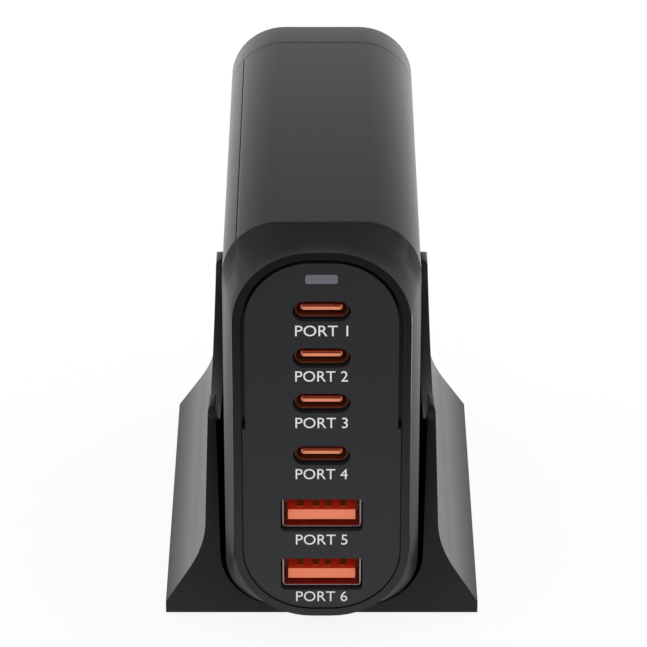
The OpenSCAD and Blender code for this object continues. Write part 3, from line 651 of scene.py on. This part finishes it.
@dataclass(frozen=True)
class Rounding:
    """How a node's edges are softened and its faces are shaded.

    Attributes:
        width: Width of the softened edge.
        steps: Facets across it.
        sharp: Angle in degrees above which an edge stays an edge.
        seam: The seam along which the soft edges are finer, if there is one.
        lean: The band that is shaded as if it leant over, if there is one.
        weld: How near two points lie to become one.
    """

    width: float
    steps: int = 2
    sharp: float = 17.0
    seam: Seam | None = None
    lean: Lean | None = None
    weld: float = 0.0005 * MM

    def shading(self) -> bpy.types.GeometryNodeTree:
        """Makes or finds the node group that shades faces smooth up to the sharp angle.

        Returns:
            The node group.
        """
        name = f"shade_{self.lean.name}" if self.lean else f"shade_under_{self.sharp:g}"
        if name in bpy.data.node_groups:
            return bpy.data.node_groups[name]
        group, mesh, done = mesh_group(name)
        wiring = Wiring(group)
        smooth = wiring.add("GeometryNodeSetShadeSmooth", {"Geometry": mesh})
        angle = wiring.add("GeometryNodeInputMeshEdgeAngle").outputs["Unsigned Angle"]
        corner = wiring.add(
            "FunctionNodeCompare",
            {"A": angle, "B": math.radians(self.sharp)},
            data_type="FLOAT",
            operation="GREATER_THAN",
        )
        normals = wiring.add(
            "GeometryNodeSetMeshNormal",
            {
                "Mesh": smooth.outputs[0],
                "Remove Custom": True,
                "Edge Sharpness": corner.outputs["Result"],
            },
            mode="SHARPNESS",
        )
        shaded = normals.outputs[0]
        wiring.fill(done, self.lean.turn(wiring, shaded) if self.lean else shaded)
        return group

    def apply(self, piece: bpy.types.Object) -> None:
        """Adds the modifiers to a piece.

        Args:
            piece: The object whose edges are softened.
        """
        weld = piece.modifiers.new("weld", "WELD")
        weld.merge_threshold = self.weld
        if self.seam:
            marks = piece.modifiers.new("edge_widths", "NODES")
            marks.node_group = self.seam.edge_widths(self.sharp)
        if self.width > 0:
            bevel = piece.modifiers.new("soft_edges", "BEVEL")
            bevel.width = self.width
            bevel.segments = self.steps
            bevel.limit_method = "WEIGHT" if self.seam else "ANGLE"
            bevel.angle_limit = math.radians(self.sharp)
            bevel.miter_outer = "MITER_SHARP"
        shade = piece.modifiers.new("shade", "NODES")
        shade.node_group = self.shading()


def dress(node: str, finish: Finish, rounding: Rounding) -> bpy.types.Object:
    """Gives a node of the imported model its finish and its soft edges.

    Args:
        node: The node's name.
        finish: Its finish.
        rounding: How its edges are softened.

    Returns:
        The node's object.
    """
    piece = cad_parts[node]
    piece.material_slots[0].material = finish.material()
    rounding.apply(piece)
    return piece


@dataclass
class Housing:
    """The main shell, the side cover and the rear cap.

    Attributes:
        nose: The shading of the nose's flanks, which shows them as pale as a white
            studio makes them.
        edge: Width of the soft edges of the shell and the side cover.
        cap_edge: Rounding of the rear cap.
    """

    nose: Lean = Lean(
        name="nose", axis="Y", fade=CREASE_Y + 0.3 * MM, start=CREASE_Y, end=RIM_Y,
        start_angle=13, end_angle=30, toward=(0, -1, 0), least=0.1, most=0.8, foot_angle=38,
    )
    edge: float = 0.14 * MM
    cap_edge: Rounding = Rounding(0.08 * MM)

    def build(self) -> list[bpy.types.Object]:
        """Dresses the three mouldings of the housing.

        Returns:
            The three mouldings.
        """
        shell_edge = Rounding(self.edge, seam=Seam(), lean=self.nose)
        return [
            dress("main_shell", HOUSING, shell_edge),
            dress("side_cover", HOUSING, shell_edge),
            dress("rear_cap", HOUSING, self.cap_edge),
        ]


@dataclass
class PortLabel:
    """A word and a number printed below a socket.

    Attributes:
        number: The port's number.
        socket: The node of the socket's metal shell.
        drop: How far the middle of the print lies below that shell.
        capital: Height of a capital letter.
        width: Width of the whole label.
        ink: Thickness of the print.
    """

    number: int
    socket: str
    drop: float
    capital: float = 1.95 * MM
    width: float = 8.5 * MM
    ink: float = 0.012 * MM

    def _letters(self) -> bpy.types.Mesh:
        """Sets the words in a plain typeface, one unit thick and at no set size.

        Returns:
            The letters as a mesh that lies flat.
        """
        letters = bpy.data.curves.new(f"label_curve_{self.number}", "FONT")
        letters.body = f"PORT {self.number}"
        letters.align_x = "CENTER"
        letters.extrude = 0.5
        letters.resolution_u = 4
        source = bpy.data.objects.new(f"label_source_{self.number}", letters)
        bpy.context.scene.collection.objects.link(source)
        bpy.context.view_layer.update()
        graph = bpy.context.evaluated_depsgraph_get()
        shape = bpy.data.meshes.new_from_object(source.evaluated_get(graph))
        bpy.data.objects.remove(source)
        return shape

    def build(self, face_y: float) -> bpy.types.Object:
        """Prints the label on the panel's face.

        Args:
            face_y: Where the panel's face is along Y.

        Returns:
            The label as a mesh.
        """
        shape = self._letters()
        xs = [v.co.x for v in shape.vertices]
        ys = [v.co.y for v in shape.vertices]
        lowest = min(v.co.z for v in shape.vertices)
        across = self.width / (max(xs) - min(xs))
        up = self.capital / (max(ys) - min(ys))
        mid_x, mid_y = (max(xs) + min(xs)) / 2, (max(ys) + min(ys)) / 2
        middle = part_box(self.socket)[0].z - self.drop
        for v in shape.vertices:
            x, y, z = v.co
            outer_y = face_y - (z - lowest) * self.ink
            v.co = ((x - mid_x) * across, outer_y, middle + (y - mid_y) * up)
        shape.update()
        piece = bpy.data.objects.new(f"port_label_{self.number}", shape)
        bpy.context.scene.collection.objects.link(piece)
        shape.materials.clear()
        shape.materials.append(PRINT.material())
        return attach(piece, BODY)


@dataclass
class FrontPanel:
    """The panel with its printed labels and the indicator bar.

    Attributes:
        labels: The labels, from the top socket down.
        edge: Rounding of the panel.
        bar_edge: Rounding of the indicator bar.
    """

    labels: tuple[PortLabel, ...] = (
        PortLabel(1, "usb_c_shell_1", 1.92 * MM),
        PortLabel(2, "usb_c_shell_2", 1.77 * MM),
        PortLabel(3, "usb_c_shell_3", 2.02 * MM),
        PortLabel(4, "usb_c_shell_4", 1.87 * MM),
        PortLabel(5, "usb_a_shell_1", 1.79 * MM),
        PortLabel(6, "usb_a_shell_2", 1.44 * MM),
    )
    edge: Rounding = Rounding(0.1 * MM)
    bar_edge: Rounding = Rounding(0.14 * MM)

    def build(self) -> list[bpy.types.Object]:
        """Dresses the panel and prints its labels.

        Returns:
            The panel, the indicator's two pieces and the labels.
        """
        face_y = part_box("front_panel")[0].y
        return [
            dress("front_panel", PANEL, self.edge),
            dress("light_guide", LIGHT_BAR, self.bar_edge),
            dress("status_light", LIGHT_CHIP, self.bar_edge),
            *(label.build(face_y) for label in self.labels),
        ]


@dataclass(frozen=True)
class SocketRow:
    """The charging sockets of one kind.

    Attributes:
        kind: The start of their nodes' names.
        count: How many there are.
        steel: Finish of their metal shells.
        tongue: Finish of their tongues.
        contact: Finish of their contacts.
    """

    kind: str
    count: int
    steel: Finish
    tongue: Finish
    contact: Finish


@dataclass
class Sockets:
    """The charging sockets' metal shells, tongues and contacts.

    Attributes:
        rows: The two kinds of socket.
        lip: Rounding of the metal lips.
        tongue_edge: Rounding of the tongues.
        contact_edge: Rounding of the contacts.
    """

    rows: tuple[SocketRow, ...] = (
        SocketRow("usb_c", 4, SLIM_STEEL, SLIM_TONGUE, SLIM_CONTACT),
        SocketRow("usb_a", 2, SOCKET_STEEL, WIDE_TONGUE, CONTACT_GOLD),
    )
    lip: Rounding = Rounding(0.05 * MM, sharp=25)
    tongue_edge: Rounding = Rounding(0.06 * MM, sharp=25)
    contact_edge: Rounding = Rounding(0)

    def build(self) -> list[bpy.types.Object]:
        """Dresses every socket.

        Returns:
            The sockets' pieces.
        """
        made = []
        for row in self.rows:
            for number in range(1, row.count + 1):
                made.append(dress(f"{row.kind}_shell_{number}", row.steel, self.lip))
                made.append(dress(f"{row.kind}_tongue_{number}", row.tongue, self.tongue_edge))
            made.append(dress(f"{row.kind}_contacts", row.contact, self.contact_edge))
        return made


@dataclass
class Stand:
    """The moulded stand and its rubber pads.

    Attributes:
        flare: The shading of the flared feet, which shows them as pale as a white
            studio makes them.
        edge: Width of the stand's soft edges.
        pad_edge: Rounding of the pads.
    """

    flare: Lean = Lean(
        name="flare", axis="Z", fade=17 * MM, start=9.5 * MM, end=2.4 * MM,
        start_angle=19, end_angle=50, toward=(0, 0, 1), least=0.05, most=0.8,
    )
    edge: float = 0.3 * MM
    pad_edge: Rounding = Rounding(0.15 * MM, sharp=30)

    def build(self) -> list[bpy.types.Object]:
        """Dresses the stand.

        Returns:
            The stand and its pads.
        """
        stand_edge = Rounding(self.edge, steps=3, sharp=28, lean=self.flare)
        return [
            dress("stand", STAND, stand_edge),
            dress("stand_pads", RUBBER, self.pad_edge),
        ]


@dataclass
class Inside:
    """The boards and the power parts, which the housing hides.

    Attributes:
        finishes: The finish of each node.
        edge: Rounding of each part.
    """

    finishes: dict[str, Finish] = field(
        default_factory=lambda: {
            "port_board": BOARD,
            "main_board": BOARD,
            "port_screws": SCREW_STEEL,
            "board_screws": SCREW_STEEL,
            "port_coils": COIL_BLOCK,
            "port_chips": CHIP,
            "board_link": CHIP,
            "transformer_core": FERRITE,
            "transformer_winding": COIL_TAPE,
            "choke_core": COATED_CORE,
            "choke_winding": COPPER,
            "bulk_capacitors": CAN_SLEEVE,
            "output_capacitors": CAN,
            "film_capacitor": FILM,
            "fuse": FUSE,
            "bridge_rectifier": CHIP,
            "heat_sink": SINK,
            "power_transistors": CHIP,
            "thermal_pad": THERMAL,
            "insulation_sheet": FISH_PAPER,
        }
    )
    edge: Rounding = Rounding(0.12 * MM, steps=1, sharp=35)

    def build(self) -> list[bpy.types.Object]:
        """Dresses every part inside."""
        return [dress(node, finish, self.edge) for node, finish in self.finishes.items()]


@dataclass
class MainsInlet:
    """The socket for the mains lead, at the back.

    Attributes:
        edge: Rounding of its moulding.
        pin_edge: Rounding of its pins and leads.
    """

    edge: Rounding = Rounding(0.2 * MM, sharp=30)
    pin_edge: Rounding = Rounding(0, sharp=30)

    def build(self) -> list[bpy.types.Object]:
        """Dresses the inlet.

        Returns:
            The inlet's body, its pins and its leads.
        """
        return [
            dress("inlet_body", INLET, self.edge),
            dress("inlet_pins", SCREW_STEEL, self.pin_edge),
            dress("inlet_leads", COPPER, self.pin_edge),
        ]


@dataclass
class Softbox:
    """A soft lamp that mirrors and gloss don't show.

    Attributes:
        name: The lamp's name.
        place: Where it stands.
        size: Its width and height.
        power: Its power in watts.
    """

    name: str
    place: Place
    size: tuple[float, float]
    power: float

    def build(self, target: Vector) -> bpy.types.Object:
        """Hangs the lamp and turns it towards a point.

        Args:
            target: The point.

        Returns:
            The lamp.
        """
        data = bpy.data.lights.new(self.name, "AREA")
        data.shape = "RECTANGLE"
        data.size, data.size_y = self.size
        data.energy = self.power
        lamp = bpy.data.objects.new(self.name, data)
        bpy.context.scene.collection.objects.link(lamp)
        lamp.visible_glossy = False
        lamp.location = self.place
        lamp.rotation_mode = "QUATERNION"
        lamp.rotation_quaternion = (target - Vector(self.place)).to_track_quat("-Z", "Y")
        return lamp


@dataclass
class Studio:
    """The floor, the lamps and the camera.

    Attributes:
        camera_place: Where the camera stands.
        camera_pitch: How far it looks down, in degrees.
        sensor: Width of its sensor, in millimetres.
        lens: Its focal length, in millimetres.
        clip: The nearest and the farthest that it sees.
        floor_size: Side of the square floor.
        paper_colour: Linear colour of the floor, as light falls on it.
        paper_glow: The share of the floor that is white by itself. The rest keeps the
            object's shadow.
        paper_dark_from: Where the floor is dark in reflections, along Y.
        paper_light_from: Where it is white in them.
        world_light: Strength of the light from all round.
        ceiling: How much darker the top of the studio is than its walls, in reflections.
        lamps: The soft lamps.
    """

    camera_place: Place = (0.0003, -0.5653, 0.33645)
    camera_pitch: float = 28.0
    sensor: float = 36.0
    lens: float = 206.5
    clip: tuple[float, float] = (0.01, 50.0)
    floor_size: float = 8.0
    paper_colour: Colour = (0.9, 0.9, 0.9)
    paper_glow: float = 0.9
    paper_dark_from: float = -0.17
    paper_light_from: float = -0.05
    world_light: float = 0.8
    ceiling: float = 0.55
    lamps: tuple[Softbox, ...] = (
        Softbox("overhead", (0.0, 0.7, 0.8), (1.2, 0.8), 1.2),
        Softbox("left", (-0.6, 0.3, 0.24), (0.5, 0.4), 2.2),
        Softbox("right", (0.6, 0.3, 0.24), (0.5, 0.4), 3.0),
    )

    def build(self) -> None:
        """Sets up the whole studio."""
        self._lay_floor()
        self._set_world()
        low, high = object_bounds()
        for lamp in self.lamps:
            lamp.build((low + high) / 2)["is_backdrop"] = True
        self._set_camera()
        bpy.context.scene.view_settings.view_transform = "Standard"

    def _seen_straight(self, wiring: Wiring) -> Output:
        """Tells rays from the camera, and those by a mirror or glass, from rays that carry light.

        Args:
            wiring: The nodes of a material or of the world.

        Returns:
            A value of 1 for the first kind and 0 for the others.
        """
        path = wiring.add("ShaderNodeLightPath")
        seen = path.outputs["Is Camera Ray"]
        for kind in ("Is Glossy Ray", "Is Transmission Ray"):
            seen = wiring.maths("MAXIMUM", seen, path.outputs[kind])
        return seen

    def _white_for_camera(self, wiring: Wiring, brightness: Output) -> Output:
        """Keeps a brightness for reflections and makes it full for the camera."""
        path = wiring.add("ShaderNodeLightPath")
        return wiring.maths("MAXIMUM", brightness, path.outputs["Is Camera Ray"])

    def _lay_floor(self) -> None:
        """Lays a pale floor that keeps the object's shadow."""
        half = self.floor_size / 2
        corners = [(-half, -half, 0), (half, -half, 0), (half, half, 0), (-half, half, 0)]
        mesh = bpy.data.meshes.new("floor")
        mesh.from_pydata(corners, [], [(0, 1, 2, 3)])
        mesh.materials.append(self._paper())
        floor = bpy.data.objects.new("floor", mesh)
        bpy.context.scene.collection.objects.link(floor)
        floor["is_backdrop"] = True

    def _paper(self) -> bpy.types.Material:
        """Makes the floor's paper, which is darker towards the camera in reflections.

        Returns:
            The material.
        """
        paper = bpy.data.materials.new("floor_paper")
        paper.use_nodes = True
        nodes, wiring = paper.node_tree.nodes, Wiring(paper.node_tree)
        matt = nodes["Principled BSDF"]
        matt.inputs["Base Color"].default_value = (*self.paper_colour, 1)
        matt.inputs["Roughness"].default_value = 0.9
        matt.inputs["Specular IOR Level"].default_value = 0.1
        place = wiring.parts(wiring.add("ShaderNodeNewGeometry").outputs["Position"])
        fade = wiring.spread(
            place.outputs["Y"], (self.paper_dark_from, self.paper_light_from)
        )
        strength = self._white_for_camera(wiring, fade)
        glow = wiring.add("ShaderNodeEmission", {"Color": WHITE, "Strength": strength})
        share = wiring.maths("MULTIPLY", self._seen_straight(wiring), self.paper_glow)
        sockets = {0: share, 1: matt.outputs[0], 2: glow.outputs[0]}
        mix = wiring.add("ShaderNodeMixShader", sockets)
        wiring.fill(nodes["Material Output"].inputs["Surface"], mix.outputs[0])
        return paper

    def _set_world(self) -> None:
        """Lights the scene evenly from all round, in front of a white background."""
        world = bpy.data.worlds.new("studio")
        bpy.context.scene.world = world
        world.use_nodes = True
        nodes, wiring = world.node_tree.nodes, Wiring(world.node_tree)
        light = nodes["Background"]
        light.inputs["Color"].default_value = WHITE
        light.inputs["Strength"].default_value = self.world_light
        place = wiring.parts(wiring.add("ShaderNodeTexCoord").outputs["Generated"])
        fade = wiring.spread(place.outputs["Z"], (0.0, 1.0), (1.0, 1.0 - self.ceiling))
        strength = self._white_for_camera(wiring, fade)
        seen = wiring.add("ShaderNodeBackground", {"Color": WHITE, "Strength": strength})
        share = self._seen_straight(wiring)
        sockets = {0: share, 1: light.outputs[0], 2: seen.outputs[0]}
        mix = wiring.add("ShaderNodeMixShader", sockets)
        wiring.fill(nodes["World Output"].inputs["Surface"], mix.outputs[0])

    def _set_camera(self) -> None:
        """Places the camera in front of the charger, looking down on it."""
        data = bpy.data.cameras.new("camera")
        data.sensor_width = self.sensor
        data.lens = self.lens
        data.clip_start, data.clip_end = self.clip
        camera = bpy.data.objects.new("camera", data)
        bpy.context.scene.collection.objects.link(camera)
        camera.location = self.camera_place
        camera.rotation_euler = (math.radians(90 - self.camera_pitch), 0, 0)
        bpy.context.scene.camera = camera


def main() -> None:
    """Builds the charger from its sub-assemblies and sets the studio."""
    logging.basicConfig(level=logging.INFO, format="%(name)s: %(message)s")
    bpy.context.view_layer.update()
    for part in (Housing(), FrontPanel(), Sockets(), Stand(), Inside(), MainsInlet()):
        for piece in part.build():
            log.info("%s: %s", type(part).__name__, piece.name)
    Studio().build()


if __name__ == "__main__":
    main()
